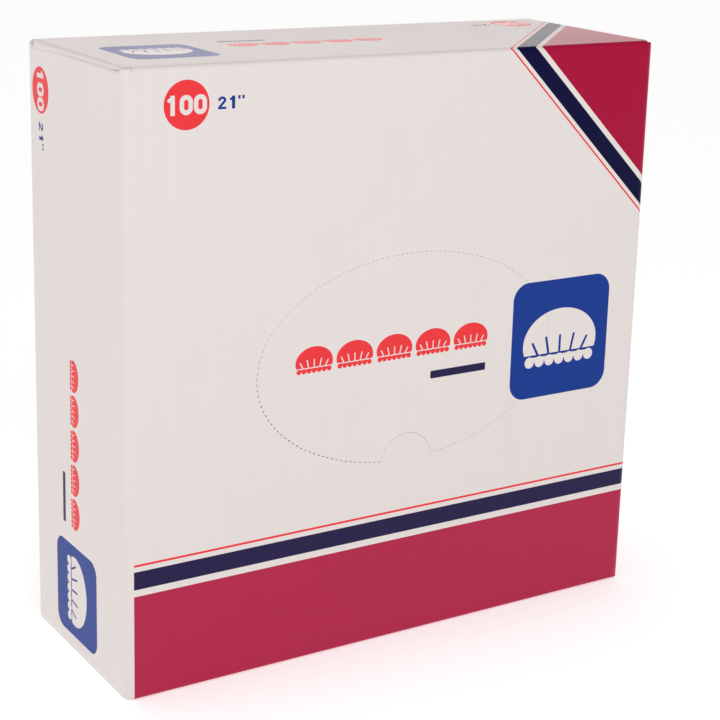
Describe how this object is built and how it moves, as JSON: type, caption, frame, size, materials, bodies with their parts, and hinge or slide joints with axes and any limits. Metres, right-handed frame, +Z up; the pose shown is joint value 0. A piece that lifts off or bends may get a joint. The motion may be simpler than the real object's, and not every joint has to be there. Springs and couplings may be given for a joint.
{
  "type": "dispenser carton of disposable caps",
  "caption": "Upright square board carton with a perforated oval dispensing window, half-moon thumb tongue, hinged tuck-in lid and folding side flaps.",
  "frame": {"origin": "middle of the underside, on the surface the carton stands on", "axes": "+Z up, -Y out of the front panel, +X to the right as seen from the front"},
  "size_m": [0.267, 0.097, 0.267],
  "materials": {
    "printed_board": "white-lined fine-fluted board, printed, satin",
    "tear_out_board": "white-lined fine-fluted board, printed, satin",
    "lid_board": "white-lined fine-fluted board, printed, satin",
    "tab_board": "white-lined board, unprinted, matt",
    "flap_board": "white-lined board, unprinted, matt",
    "inner_board": "plain inner liner, matt",
    "bottom_board": "white-lined board, unprinted, matt"
  },
  "bodies": {
    "box": {"carton_sleeve": "printed_board", "tear_out_panel": "tear_out_board", "glue_lap": "inner_board", "bottom_panel": "bottom_board", "left_bottom_flap": "inner_board", "right_bottom_flap": "inner_board"},
    "lid": {"top_lid": "lid_board", "tuck_tab": "tab_board"},
    "left_flap": {"left_dust_flap": "flap_board"},
    "right_flap": {"right_dust_flap": "flap_board"}
  },
  "joints": [
    {"name": "lid_hinge", "type": "hinge", "parent": "box", "child": "lid", "pos_m": [0, -0.0485, 0.267], "axis": [1, 0, 0], "range_deg": [0, 240]},
    {"name": "left_flap_hinge", "type": "hinge", "parent": "box", "child": "left_flap", "pos_m": [-0.1317, 0, 0.2637], "axis": [0, 1, 0], "range_deg": [0, 85]},
    {"name": "right_flap_hinge", "type": "hinge", "parent": "box", "child": "right_flap", "pos_m": [0.1317, 0, 0.2637], "axis": [0, -1, 0], "range_deg": [0, 85]}
  ]
}
